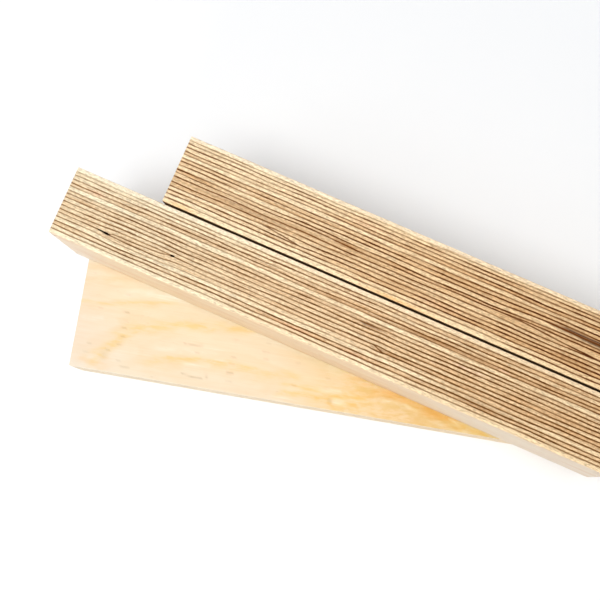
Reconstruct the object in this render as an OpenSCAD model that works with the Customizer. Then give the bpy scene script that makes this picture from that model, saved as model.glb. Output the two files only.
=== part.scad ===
// Stack of three laminated veneer lumber beams.
// The bottom beam lies flat on its face veneer. Two more stand on edge on top
// of it, side by side, turned a little against it, so their ply edges face up.
// +X runs along the upper pair, +Z is up, and the origin is at the centre of
// the stack's footprint box, on the ground.

/* [Beam] */
// Thickness of a beam, across its seventeen glued plies
beam_t = 63; // [40:1:90]
// Depth of a beam, which is the width of its face veneers
beam_w = 130; // [90:1:200]
// Length of the front beam
front_l = 527; // [300:1:1200]
// Length of the rear beam
rear_l = 527; // [300:1:1200]
// Length of the bottom beam
bottom_l = 527; // [300:1:1200]
// Radius of the eased arris along every long edge
arris_r = 0.8; // [0.4:0.1:4]

/* [Stack] */
// Gap between the two upper beams
pair_gap = 1.8; // [0.4:0.1:10]
// How far the rear beam's left end is set back from the front beam's
rear_setback = 80.5; // [0:0.5:120]
// How far the bottom beam is turned against the upper pair, in degrees
bottom_turn = 14; // [2:0.5:20]
// Bottom beam's near corner: how far it is in from the pair's left end
bottom_in = 38.5; // [20:0.5:80]
// Bottom beam's near corner: how far it reaches out in front of the gap
bottom_out = 163.5; // [120:0.5:180]

/* [Hidden] */
$fn = 32;

// Plan corners of the bottom beam, before the stack is centred: the front
// beam's rear left corner is at (0, 0)
c = cos(bottom_turn);
s = sin(bottom_turn);
near_left = [bottom_in, -bottom_out];
far_left = near_left + beam_w * [-s, c];
near_right = near_left + bottom_l * [c, s];
far_right = near_right + beam_w * [-s, c];

x_lo = min(0, rear_setback, near_left.x, far_left.x);
x_hi = max(front_l, rear_setback + rear_l, near_right.x, far_right.x);
y_lo = min(-beam_t, near_left.y, near_right.y);
y_hi = max(pair_gap + beam_t, far_left.y, far_right.y);

// Centre of the footprint box
mid = [(x_lo + x_hi) / 2, (y_lo + y_hi) / 2];

// Section of a beam with its four long edges eased, lying in the first quadrant
module section(w, h, r) {
    union() {
        translate([r, 0]) square([w - 2 * r, h]);
        translate([0, r]) square([w, h - 2 * r]);
        for (x = [r, w - r], y = [r, h - r]) translate([x, y]) circle(r = r);
    }
}

// Beam along +X from the origin, w wide in Y and h high in Z
module beam(l, w, h) {
    rotate([90, 0, 90]) linear_extrude(height = l) section(w, h, arris_r);
}

module front_beam() {
    color([0.86, 0.73, 0.57])
        translate([-mid.x, -mid.y - beam_t, beam_t])
            beam(front_l, beam_t, beam_w);
}

module rear_beam() {
    color([0.78, 0.63, 0.47])
        translate([rear_setback - mid.x, pair_gap - mid.y, beam_t])
            beam(rear_l, beam_t, beam_w);
}

module bottom_beam() {
    color([0.97, 0.85, 0.69])
        translate([near_left.x - mid.x, near_left.y - mid.y, 0])
            rotate([0, 0, bottom_turn])
                beam(bottom_l, beam_w, beam_t);
}

front_beam();
rear_beam();
bottom_beam();
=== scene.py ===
"""Stack of three laminated veneer lumber beams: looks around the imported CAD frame."""
import math

import bpy
import numpy as np
from mathutils import Matrix, Vector


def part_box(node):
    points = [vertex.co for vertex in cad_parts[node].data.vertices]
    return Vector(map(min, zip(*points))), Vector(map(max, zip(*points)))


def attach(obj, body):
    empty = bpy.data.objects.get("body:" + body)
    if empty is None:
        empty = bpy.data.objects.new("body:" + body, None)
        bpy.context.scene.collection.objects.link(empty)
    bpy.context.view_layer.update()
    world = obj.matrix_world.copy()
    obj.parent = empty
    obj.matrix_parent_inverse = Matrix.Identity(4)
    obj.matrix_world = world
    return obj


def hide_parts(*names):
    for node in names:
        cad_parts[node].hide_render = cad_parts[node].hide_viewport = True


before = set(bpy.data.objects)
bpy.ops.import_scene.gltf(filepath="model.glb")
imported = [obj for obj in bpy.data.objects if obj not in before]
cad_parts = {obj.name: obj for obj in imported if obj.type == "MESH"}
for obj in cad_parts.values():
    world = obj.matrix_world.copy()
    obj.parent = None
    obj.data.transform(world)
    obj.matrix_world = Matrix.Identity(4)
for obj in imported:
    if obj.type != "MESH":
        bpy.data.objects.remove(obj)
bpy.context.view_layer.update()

MM = 0.001


# ---------------------------------------------------------------- smooth random fields
class Waves:
    """A smooth, repeatable random field: a sum of plane waves, about -1 to 1."""

    def __init__(self, seed, count, shortest, longest):
        r = np.random.RandomState(seed)
        dims = len(shortest)
        self.k = np.zeros((count, dims))
        for d in range(dims):
            lam = np.exp(r.uniform(np.log(shortest[d]), np.log(longest[d]), count))
            self.k[:, d] = 2 * np.pi / lam * r.choice([-1, 1], count)
        self.p = r.uniform(0, 2 * np.pi, count)
        a = r.uniform(0.5, 1.0, count)
        self.a = a / np.sqrt((a ** 2).sum() / 2) / 1.6

    def __call__(self, *coords):
        coords = np.broadcast_arrays(*coords)
        out = np.zeros(coords[0].shape)
        for k, p, a in zip(self.k, self.p, self.a):
            ph = np.full(coords[0].shape, p)
            for c, kk in zip(coords, k):
                ph = ph + c * kk
            out += a * np.sin(ph)
        return out


def smooth(x, a, b):
    t = np.clip((x - a) / (b - a), 0, 1)
    return t * t * (3 - 2 * t)


def hump(x, a, b, soft):
    return smooth(x, a - soft, a + soft) * (1 - smooth(x, b - soft, b + soft))


# ---------------------------------------------------------------- one beam
class Beam:
    """A glued stack of veneers. Local axes in millimetres: u along the grain, v across the plies, w across the veneers."""

    def __init__(self, name, node, slot, length, thick, width, plies, seed, laps=(), swells=(), holes=(), spots=(), strokes=(), scars=(), tones=None, ink=None, inner=None, figure=None):
        self.name, self.node, self.slot = name, node, slot
        self.L, self.T, self.W = length, thick, width
        base = np.concatenate([[0], np.cumsum(plies)])
        self.base = base * (thick / base[-1])
        self.n = len(plies)
        self.seed = seed
        self.laps, self.swells, self.holes, self.spots, self.strokes, self.scars = laps, swells, holes, spots, strokes, scars
        self.tones, self.ink, self.inner = np.array(tones, float), np.array(ink, float), inner
        self.wob = Waves(seed, 9, (55, 6.0, 160), (320, 40, 900))
        self.wob2 = Waves(seed + 1, 7, (22, 2.5, 60), (60, 12, 200))
        self.relief = Waves(seed + 2, 10, (18, 14), (160, 60))
        self.relief2 = Waves(seed + 3, 12, (6, 5), (26, 20))
        self.figure = figure or (lambda u, w, side: 3.0 * Waves(seed + 11 + side, 9, (150, 38), (620, 120))(u, w) + w / 60)

    # glue lines -------------------------------------------------
    def lines(self, u, w):
        """v of every glue line, and of both faces, at each u and w: shape (lines, ...)."""
        u, w = np.broadcast_arrays(np.asarray(u, float), np.asarray(w, float))
        out = np.zeros((self.n + 1,) + u.shape)
        for k in range(self.n + 1):
            v = self.base[k]
            hold = min(1.0, v / 6.0, (self.T - v) / 6.0)
            off = 0.30 * self.wob(u, np.full(u.shape, v), w) + 0.075 * self.wob2(u, np.full(u.shape, v), w)
            out[k] = v + hold * off
        for lap in (*self.laps, *self.swells):
            j, a, b, grow = lap["ply"], lap["from"], lap["to"], lap["grow"]
            shape = hump(u, a, b, lap.get("soft", min(14.0, (b - a) * 0.38))) * grow
            for k in range(1, self.n):
                side = 1.0 if k > j else -1.0
                far = (k - (j + 1)) if k > j else (j - k)
                out[k] += side * shape * (lap["up"] if side > 0 else 1 - lap["up"]) * math.exp(-far / 2.3)
        return out

    def columns(self, u, w):
        """Columns across the plies, for sawn faces: v, ply coordinate and distance to the nearest glue line."""
        u, w = np.broadcast_arrays(np.asarray(u, float), np.asarray(w, float))
        Y = self.lines(u, w)
        r = self.arris
        vs, lay, gd = [], [], []
        for j in range(self.n):
            th = Y[j + 1] - Y[j]
            qm = np.full(u.shape, 0.5)
            near = np.zeros(u.shape)
            on = np.zeros(u.shape, bool)
            low, high = self.hole_half(u, j), self.hole_half(u, j + 1)
            for lap in self.laps:
                if lap["ply"] != j:
                    continue
                t = np.clip((u - lap["from"]) / (lap["to"] - lap["from"]), 0, 1)
                if lap.get("bend"):
                    t = np.interp(t, (0, 0.05, 0.14, 0.48, 0.79, 0.89, 1), (0, 0.33, 0.42, 0.50, 0.60, 0.72, 1))
                ql = t if lap["rise"] else 1 - t
                end0, end1 = (0.0, 1.0) if lap["rise"] else (1.0, 0.0)
                before = smooth(u, lap["from"] - 10, lap["from"])
                after = 1 - smooth(u, lap["to"], lap["to"] + 10)
                q = np.where(u < lap["from"], 0.5 + (end0 - 0.5) * before, np.where(u > lap["to"], 0.5 + (end1 - 0.5) * after, ql))
                qm = qm + (q - 0.5)
                near = np.maximum(near, before * after)
                on |= (u >= lap["from"]) & (u <= lap["to"])
            # beside a lap the flank columns move halfway between its slanting joint and the glue lines
            q1 = (1 - near) * np.minimum(0.13, qm * 0.6) + near * qm * 0.5
            q3 = (1 - near) * np.maximum(0.87, 1 - (1 - qm) * 0.6) + near * (0.5 + qm * 0.5)
            q1 = np.maximum(q1, np.where(low > 0, (low + 0.12) / th, 0))
            q3 = np.minimum(q3, 1 - np.where(high > 0, (high + 0.12) / th, 0))
            qm = np.clip(qm, q1 + 0.012, q3 - 0.012)
            for i, q in enumerate((np.zeros(u.shape), q1, qm, q3)):
                v = Y[j] + q * th
                d = np.minimum(q, 1 - q) * th
                if i == 2:
                    d = np.where(on, 0.0, d)
                else:
                    d = np.where(on, np.minimum(d, np.abs(q - qm) * th), d)
                if j == 0 and i == 0:
                    continue
                vs.append(v); lay.append(j + q); gd.append(d)
        # the outer plies end in the arris
        vs, lay, gd = np.array(vs), np.array(lay), np.array(gd)
        first, last = Y[1], self.T - Y[self.n - 1]
        # columns 0 and 1 of ply 0 and the last one of the last ply make room for the arris
        vs[0] = np.maximum(r * 1.0, vs[0]); vs[1] = np.maximum(vs[1], r * 1.5)
        vs[-1] = np.minimum(self.T - r * 1.0, vs[-1])
        vs[-2] = np.minimum(vs[-2], self.T - r * 1.5)
        lay[0] = vs[0] / first; lay[1] = vs[1] / first
        lay[-1] = self.n - (self.T - vs[-1]) / last; lay[-2] = self.n - (self.T - vs[-2]) / last
        big = 0.0
        gd[0] = first - vs[0]; gd[1] = first - vs[1]; gd[2] = np.minimum(gd[2], first - vs[2])
        gd[-1] = last - (self.T - vs[-1]); gd[-2] = last - (self.T - vs[-2])
        return vs, lay, gd

    def along(self, table, row, u):
        """A value given at the left, middle and right of the stretch in view, for each row of a table."""
        knots = (70.0, 235.0, 390.0)
        k = np.clip(row, 0, len(table) - 1)
        t = table[k]
        if t.ndim == 1:
            return t
        one = np.clip((u - knots[0]) / (knots[1] - knots[0]), 0, 1)
        two = np.clip((u - knots[1]) / (knots[2] - knots[1]), 0, 1)
        return t[:, 0] + (t[:, 1] - t[:, 0]) * one + (t[:, 2] - t[:, 1]) * two

    # the mesh ---------------------------------------------------
    arris = 0.75
    row_count = 55

    def stations(self):
        u = list(np.arange(0, self.L + 0.1, 2.35))
        u = [x for x in u if 2.0 < x < self.L - 2.0]
        u += [0.0, 0.28, 0.8, 1.6, self.L - 1.6, self.L - 0.8, self.L - 0.28, self.L]
        for h in self.holes:
            u = [x for x in u if not (h["from"] - 2.2 < x < h["to"] + 2.2)]
            u += list(np.linspace(h["from"] - 2.0, h["to"] + 2.0, max(7, int((h["to"] - h["from"] + 4) / 0.75))))
        return np.array(sorted(set(np.round(u, 4))))

    def rows(self):
        r = self.arris
        inner = np.linspace(r, self.W - r, self.row_count)
        return inner

    def depth(self, u, s, lay, gd, sawn, side):
        """How far the surface lies below the beam's box, in millimetres."""
        d = 0.10 + 0.055 * self.relief(u + 900 * side, s) + 0.02 * self.relief2(u, s + 70 * side)
        if sawn:
            ply = np.floor(np.minimum(lay, self.n - 0.001)).astype(int)
            step = np.random.RandomState(self.seed + 40 + side).uniform(-0.045, 0.045, self.n)
            edge = smooth(gd, 0.0, 0.42)
            d = d + np.where(gd < 0.05, 0, step[np.clip(ply, 0, self.n - 1)]) + (1 - edge) * 0.13
        return np.maximum(d, 0.0)

    def hole_half(self, u, line):
        """Half the height of an open joint on a glue line, in millimetres."""
        h = np.zeros(np.shape(u))
        for x in self.holes:
            if x["line"] == line:
                t = np.clip((u - x["from"]) / (x["to"] - x["from"]), 0, 1)
                h = np.maximum(h, x["half"] * np.sin(np.pi * t ** x.get("skew", 1.0)) ** 0.6)
        return h

    def hole_depth(self, u, line, top):
        d = np.zeros(np.shape(u))
        for h in self.holes:
            if h["line"] != line or h.get("top", True) != top:
                continue
            mid, half = (h["from"] + h["to"]) / 2, (h["to"] - h["from"]) / 2
            x = np.clip(1 - ((u - mid) / half) ** 2, 0, 1)
            d = np.maximum(d, h["deep"] * np.sqrt(x))
        return d

    def build(self, place):
        """place(u, v, w) in millimetres -> world position in metres."""
        U = self.stations()
        R = self.rows()
        r, L, T, W = self.arris, self.L, self.T, self.W
        nU = len(U)
        nc = self.n * 4 - 1 + 2 + 2            # columns with both arris points on each side: corner, 67.5 degrees, then the ply columns
        nr = len(R) + 4
        s45, s22, c22 = math.sqrt(0.5), math.sin(math.radians(22.5)), math.cos(math.radians(22.5))

        def edge_columns(u, w, top):
            """(columns, stations): v, w, lay, gd for the sawn face at the top or the bottom."""
            vs, lay, gd = self.columns(u, np.full(u.shape, w))
            Y = self.lines(u, np.full(u.shape, w))
            first, last = Y[1], T - Y[self.n - 1]
            one = np.ones(u.shape)
            a = [one * r * (1 - s45), one * r * (1 - s22)]
            b = [one * (T - r * (1 - s22)), one * (T - r * (1 - s45))]
            v = np.array(a + list(vs) + b)
            lo = np.array([x / first for x in a] + list(lay) + [self.n - (T - x) / last for x in b])
            g = np.array([first - x for x in a] + list(gd) + [last - (T - x) for x in b])
            sink = np.zeros(v.shape)
            sink[0] = sink[-1] = r * (1 - s45)
            sink[1] = sink[-2] = r * (1 - c22)
            d = self.depth(u[None, :], v, lo, g, True, 0 if top else 1)
            # open glue joints
            vd = np.zeros(v.shape)
            col = 2
            for j in range(self.n):
                for i in range(4):
                    if j == 0 and i == 0:
                        continue
                    if i == 0:
                        hd = self.hole_depth(u, j, top)
                        d[col] += hd
                        vd[col] = np.minimum(hd * 4.0, 1.0)
                    col += 1
            ramp = np.ones(len(v)); ramp[0] = ramp[-1] = s45; ramp[1] = ramp[-2] = c22
            return v, (sink + d * ramp[:, None]), d, lo, g, vd

        def face_rows(u, side):
            """(rows, stations): sink from the veneer face and w."""
            one = np.ones(u.shape)
            ws = [one * r * (1 - s45), one * r * (1 - s22)] + [one * x for x in R] + [one * (W - r * (1 - s22)), one * (W - r * (1 - s45))]
            w = np.array(ws)
            sink = np.zeros(w.shape)
            sink[0] = sink[-1] = r * (1 - s45)
            sink[1] = sink[-2] = r * (1 - c22)
            d = self.depth(u[None, :], w, None, None, False, 2 + side)
            ramp = np.ones(len(w)); ramp[0] = ramp[-1] = s45; ramp[1] = ramp[-2] = c22
            return w, sink + d * ramp[:, None], d

        verts, loc, lays, gds, voids = [], [], [], [], []

        # wander of the arris: each long edge is eased a little differently along its length
        inset = np.zeros(nU); inset[0] = inset[-1] = 0.27   # the sawn ends' edges are just broken
        # --- bottom edge (w = 0), top edge (w = W), left face (v = 0), right face (v = T)
        vb, sb, db, lb, gb, hb = edge_columns(U, 0.0, False)
        vt, st, dt, lt, gt, ht = edge_columns(U, W, True)
        wl, sl, dl = face_rows(U, 0)
        wr, sr, dr = face_rows(U, 1)
        ncol, nrow = len(vb), len(wl)
        UU = lambda n: np.broadcast_to(U, (n, nU)).copy()
        grid = {}
        # sawn faces hold the corner columns; veneer faces hold only the rows between them
        off = 0
        ids = {}

        def put(tag, u, v, w, lo, g, tv, tw, hole=None):
            nonlocal off
            n = u.size
            ids[tag] = (off + np.arange(n)).reshape(u.shape)
            verts.append(np.stack([u.ravel(), v.ravel(), w.ravel()], 1))
            loc.append(np.stack([u.ravel(), tv.ravel(), tw.ravel()], 1))
            lays.append(lo.ravel()); gds.append(g.ravel())
            voids.append(np.zeros(n) if hole is None else hole.ravel())
            off += n

        # corner columns lie on both a sawn and a veneer face, so both depths pull them in
        def corner_pull(v, low, high, dl_row, dr_row):
            v = v.copy()
            for c, f in ((0, s45), (1, s22)):
                v[c] = v[c] + f * dl_row[0] * 1.0
                v[-1 - c] = v[-1 - c] - f * dr_row[0] * 1.0
            return v

        vb2 = corner_pull(vb, None, None, dl[:1], dr[:1])
        vt2 = corner_pull(vt, None, None, dl[-1:], dr[-1:])
        mid_v = T / 2; mid_w = W / 2
        put("bot", UU(ncol), vb2 + np.sign(mid_v - vb2) * inset * (np.abs(vb2 - mid_v) > mid_v - 1.3), sb + inset, lb, gb, vb, np.zeros_like(vb), hb)
        put("top", UU(ncol), vt2 + np.sign(mid_v - vt2) * inset * (np.abs(vt2 - mid_v) > mid_v - 1.3), W - st - inset, lt, gt, vt, np.full_like(vt, W), ht)
        inner = slice(1, nrow - 1)
        wl_i, sl_i, wr_i, sr_i = wl[inner], sl[inner], wr[inner], sr[inner]

        def w_fix(w, d_b, d_t):
            w = w.copy()
            w[0] = w[0] + s22 * d_b
            w[-1] = w[-1] - s22 * d_t
            return w

        Yb = self.lines(U, 0 * U)
        first = np.broadcast_to(Yb[1], wl_i.shape); last = np.broadcast_to(T - Yb[self.n - 1], wl_i.shape)
        wl_p = w_fix(wl_i, db[0], dt[0]); wr_p = w_fix(wr_i, db[-1], dt[-1])
        put("left", UU(nrow - 2), sl_i + inset, wl_p + np.sign(mid_w - wl_p) * inset * (np.abs(wl_p - mid_w) > mid_w - 1.3), sl_i / first, first - sl_i, np.zeros_like(wl_i), wl_i)
        put("right", UU(nrow - 2), T - sr_i - inset, wr_p + np.sign(mid_w - wr_p) * inset * (np.abs(wr_p - mid_w) > mid_w - 1.3), self.n - sr_i / last, last - sr_i, np.full_like(wr_i, T), wr_i)

        # --- sawn ends: interior of the (columns x rows) grid
        caps = {}
        for tag, i, uu, out in (("end0", 0, 0.0, -1), ("end1", nU - 1, L, 1)):
            rows_w = wl[1:-1, i]
            cols = []
            for wv in rows_w:
                v_, _, _, lo_, g_, _ = edge_columns(np.array([uu]), wv, True)
                cols.append((v_[:, 0], lo_[:, 0], g_[:, 0]))
            v = np.array([c[0] for c in cols])[:, 1:-1]
            lo = np.array([c[1] for c in cols])[:, 1:-1]
            g = np.array([c[2] for c in cols])[:, 1:-1]
            w = np.repeat(rows_w[:, None], v.shape[1], 1)
            dd = 0.05 + 0.05 * self.relief2(v * 1.3 + 500 * out, w * 0.8) + 0.10 * (1 - smooth(g, 0, 0.42)) + 0.03 * self.relief(v * 3, w)
            dd = np.maximum(dd, 0.0)
            # the cut is true at its rim
            rim = np.minimum(np.minimum(v, T - v), np.minimum(w, W - w))
            dd = dd * smooth(rim, 0.0, 1.0)
            u = uu - out * dd
            put(tag, u, v, w, lo, g, v, w)
            caps[tag] = (i, out)

        P = np.concatenate(verts); LOC = np.concatenate(loc)
        LAY = np.concatenate(lays); GD = np.concatenate(gds); VOID = np.concatenate(voids)

        faces, mats = [], []

        def quads(g, flip, mat):
            a, b, c, d = g[:-1, :-1], g[1:, :-1], g[1:, 1:], g[:-1, 1:]
            q = np.stack([a, b, c, d], -1).reshape(-1, 4)
            if flip:
                q = q[:, ::-1]
            faces.append(q)
            mats.append(np.full(len(q), mat))

        bot, top, left, right = ids["bot"], ids["top"], ids["left"], ids["right"]
        # bottom: normal -w. grid index (column, station)
        quads(bot, False, 0)
        quads(top, True, 0)
        lfull = np.concatenate([bot[:1], left, top[:1]])
        rfull = np.concatenate([bot[-1:], right, top[-1:]])
        # the face against the other upper beam takes the material with painted gap shade
        quads(lfull, True, 3 if self.inner == "left" else 1)
        quads(rfull, False, 3 if self.inner == "right" else 1)
        for tag, (i, out) in caps.items():
            body = ids[tag]
            grid_ = np.zeros((nrow, ncol), int)
            grid_[1:-1, 1:-1] = body
            grid_[0] = bot[:, i]; grid_[-1] = top[:, i]
            grid_[1:-1, 0] = left[:, i]; grid_[1:-1, -1] = right[:, i]
            quads(grid_, out < 0, 2)
        F = np.concatenate(faces); M = np.concatenate(mats)
        # faces in an open joint take the void material, painted near black as shade
        M = np.where(VOID[F].max(1) > 0.3, 4, M)

        # --- painted marks: brown stain, resin, dark knot or void
        spot = np.zeros((len(P), 4))
        for s in self.spots:
            on_face = s.get("on", "edge")
            du = (LOC[:, 0] - s["u"]) / s["lu"]
            if on_face == "edge":
                near = np.abs(P[:, 2] - (W if s.get("top", True) else 0)) < 3.0
                dv = (LOC[:, 1] - s["v"]) / s["lv"]
            else:
                near = (LOC[:, 1] > T - 0.01) if on_face == "top_face" else (LOC[:, 1] < 0.01)
                dv = (LOC[:, 2] - s["v"]) / s["lv"]
            m = np.exp(-(du ** 2 + dv ** 2) ** s.get("hard", 1.0)) * s["strength"] * near
            ch = {"brown": 0, "resin": 1, "knot": 2, "red": 3}[s["kind"]]
            spot[:, ch] = np.maximum(spot[:, ch], m)
        stroke = {k: np.zeros(len(P)) for k in ("gold", "peach", "white", "tick")}
        for x in self.scars:
            du = LOC[:, 0] - x["u"]
            dv = LOC[:, 1] - x["v"] - x["tilt"] * du
            m = np.exp(-((du / x["lu"]) ** 2 + (dv / x["lv"]) ** 2)) * x["strength"] * (np.abs(P[:, 2] - W) < 3.0)
            stroke["white"] = np.maximum(stroke["white"], m)
        if self.strokes:
            face = np.where(LOC[:, 1] > T - 0.5)[0]
            fu, fw = LOC[face, 0], LOC[face, 2]
            wander = Waves(self.seed + 60, 8, (14, 9), (60, 30))(fu, fw)
            for st in self.strokes:
                best = np.zeros(len(face))
                pts = st["path"]
                for (u0, w0), (u1, w1) in zip(pts[:-1], pts[1:]):
                    k = np.clip(((fu - u0) * (u1 - u0) + (fw - w0) * (w1 - w0)) / ((u1 - u0) ** 2 + (w1 - w0) ** 2), 0, 1)
                    gap = np.hypot((fu - u0 - k * (u1 - u0)) * st.get("along", 0.6), fw - w0 - k * (w1 - w0))
                    best = np.maximum(best, np.exp(-(gap / (st["wide"] * (1 + 0.35 * wander))) ** 2))
                out = stroke[st["kind"]]
                out[face] = np.maximum(out[face], best * st["strength"])
        fig = np.zeros(len(P))
        lo_side = LOC[:, 1] < T / 2
        fig[lo_side] = self.figure(LOC[lo_side, 0], LOC[lo_side, 2], 0)
        fig[~lo_side] = self.figure(LOC[~lo_side, 0], LOC[~lo_side, 2], 1)

        world = place(P) * MM
        mesh = bpy.data.meshes.new(self.name)
        mesh.vertices.add(len(world)); mesh.vertices.foreach_set("co", world.astype(np.float32).ravel())
        mesh.loops.add(len(F) * 4); mesh.polygons.add(len(F))
        mesh.loops.foreach_set("vertex_index", F.astype(np.int32).ravel())
        mesh.polygons.foreach_set("loop_start", np.arange(0, len(F) * 4, 4, dtype=np.int32))
        mesh.polygons.foreach_set("material_index", M.astype(np.int32))
        mesh.update(calc_edges=True)
        mesh.validate()
        # outward normals
        co = world; tri = F
        a, b, c = co[tri[:, 0]], co[tri[:, 1]], co[tri[:, 2]]
        d = co[tri[:, 3]]
        vol = (np.einsum("ij,ij->i", a, np.cross(b, c)) + np.einsum("ij,ij->i", a, np.cross(c, d))).sum() / 6
        print(self.name, "verts", len(P), "quads", len(F), "volume cm3 %.1f" % (vol * 1e6))
        if vol < 0:
            mesh.flip_normals()
        tone = self.along(self.tones, np.floor(np.minimum(LAY, self.n - 0.001)).astype(int), LOC[:, 0])
        ink = self.along(self.ink, np.round(LAY).astype(int) - 1, LOC[:, 0])
        for key, val in (("lay", LAY), ("gd", GD), ("fig", fig), ("tone", tone), ("ink", ink), *stroke.items()):
            mesh.attributes.new(key, "FLOAT", "POINT").data.foreach_set("value", val.astype(np.float32))
        mesh.attributes.new("loc", "FLOAT_VECTOR", "POINT").data.foreach_set("vector", LOC.astype(np.float32).ravel())
        mesh.attributes.new("spot", "FLOAT_COLOR", "POINT").data.foreach_set("color", spot.astype(np.float32).ravel())
        mesh.polygons.foreach_set("use_smooth", np.ones(len(F), bool))
        mesh.update()
        obj = bpy.data.objects.new(self.name, mesh)
        bpy.context.scene.collection.objects.link(obj)
        return obj


# ---------------------------------------------------------------- node materials
class Tree:
    def __init__(self, name):
        self.m = bpy.data.materials.new(name)
        self.m.use_nodes = True
        self.t = self.m.node_tree
        self.t.nodes.clear()

    def put(self, sock, val):
        if val is None:
            return
        if hasattr(val, "is_output"):
            self.t.links.new(val, sock)
        elif hasattr(sock.default_value, "__len__") and not hasattr(val, "__len__"):
            sock.default_value = [val] * len(sock.default_value)
        elif hasattr(sock.default_value, "__len__") and len(val) == 3 and len(sock.default_value) == 4:
            sock.default_value = (*val, 1)
        else:
            sock.default_value = val

    def node(self, kind, **props):
        n = self.t.nodes.new(kind)
        for k, v in props.items():
            setattr(n, k, v)
        return n

    def math(self, op, a, b=None, c=None, clamp=False):
        n = self.node("ShaderNodeMath", operation=op, use_clamp=clamp)
        for s, v in zip(n.inputs, (a, b, c)):
            self.put(s, v)
        return n.outputs[0]

    def add(self, a, b): return self.math("ADD", a, b)
    def sub(self, a, b): return self.math("SUBTRACT", a, b)
    def mul(self, a, b): return self.math("MULTIPLY", a, b)
    def madd(self, a, b, c): return self.math("MULTIPLY_ADD", a, b, c)

    def attr(self, name):
        return self.node("ShaderNodeAttribute", attribute_type="GEOMETRY", attribute_name=name)

    def split(self, v):
        n = self.node("ShaderNodeSeparateXYZ")
        self.put(n.inputs[0], v)
        return n.outputs

    def vec(self, x, y, z):
        n = self.node("ShaderNodeCombineXYZ")
        for s, v in zip(n.inputs, (x, y, z)):
            self.put(s, v)
        return n.outputs[0]

    def noise(self, vec, w=None, detail=2.0, rough=0.5, dist=0.0, lac=2.0):
        n = self.node("ShaderNodeTexNoise", noise_dimensions="4D" if w is not None else "3D")
        self.put(n.inputs["Vector"], vec)
        if w is not None:
            self.put(n.inputs["W"], w)
        n.inputs["Scale"].default_value = 1.0
        n.inputs["Detail"].default_value = detail
        n.inputs["Roughness"].default_value = rough
        n.inputs["Lacunarity"].default_value = lac
        n.inputs["Distortion"].default_value = dist
        return n.outputs[0]

    def white(self, w):
        n = self.node("ShaderNodeTexWhiteNoise", noise_dimensions="1D")
        self.put(n.inputs["W"], w)
        return n.outputs["Value"]

    def step(self, v, a, b, lo=0.0, hi=1.0):
        n = self.node("ShaderNodeMapRange", interpolation_type="SMOOTHSTEP", clamp=True)
        for s, x in zip(n.inputs, (v, a, b, lo, hi)):
            self.put(s, x)
        return n.outputs[0]

    def ramp(self, fac, stops, hard=False):
        n = self.node("ShaderNodeValToRGB")
        self.put(n.inputs[0], fac)
        if hard:
            n.color_ramp.interpolation = "CONSTANT"
        e = n.color_ramp.elements
        while len(e) < len(stops):
            e.new(0.5)
        for el, (p, c) in zip(e, stops):
            el.position = p
            el.color = (*c, 1) if len(c) == 3 else c
        return n.outputs[0]

    def mix(self, fac, a, b, mode="MIX"):
        n = self.node("ShaderNodeMix", data_type="RGBA", blend_type=mode)
        self.put(n.inputs[0], fac)
        self.put(n.inputs[6], a)
        self.put(n.inputs[7], b)
        return n.outputs[2]

    def finish(self, colour, rough, height, bump=0.4, dist=0.0004, spec=0.35):
        b = self.node("ShaderNodeBump")
        b.inputs["Strength"].default_value = bump
        b.inputs["Distance"].default_value = dist
        self.put(b.inputs["Height"], height)
        p = self.node("ShaderNodeBsdfPrincipled")
        self.put(p.inputs["Base Color"], colour)
        self.put(p.inputs["Roughness"], rough)
        p.inputs["Specular IOR Level"].default_value = spec
        self.put(p.inputs["Normal"], b.outputs[0])
        o = self.node("ShaderNodeOutputMaterial")
        self.t.links.new(p.outputs[0], o.inputs[0])
        return self.m


def srgb(r, g, b):
    f = lambda c: (c / 255 / 12.92) if c / 255 <= 0.04045 else ((c / 255 + 0.055) / 1.055) ** 2.4
    return (f(r), f(g), f(b))


def wood_ring(n, t):
    """Light earlywood, rising slowly to a band of latewood that ends sharply."""
    return n.ramp(t, [(0.0, (0, 0, 0)), (0.40, (0.10,) * 3), (0.70, (0.55,) * 3), (0.84, (1,) * 3), (0.92, (0.85,) * 3), (1.0, (0, 0, 0))])


def lengthwise_tint_and_light(n, u, seed, length, first, mid, last):
    """A slow change of tint from one end of the beam to the other, partly the wood's own drift and partly painted
    light, paler at the start where the light falls stronger: (0..1, tint).
    """
    drift = n.noise(n.vec(n.mul(u, 1 / 140), 0.0, 0.0), seed + 20.5, 1.0, 0.5)
    g = n.step(n.add(u, n.madd(drift, 120.0, -60.0)), -0.05 * length, 0.98 * length)
    return g, n.mix(n.step(g, 0.5, 1.0), n.mix(n.step(g, 0.0, 0.5), first, mid), last)


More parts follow.
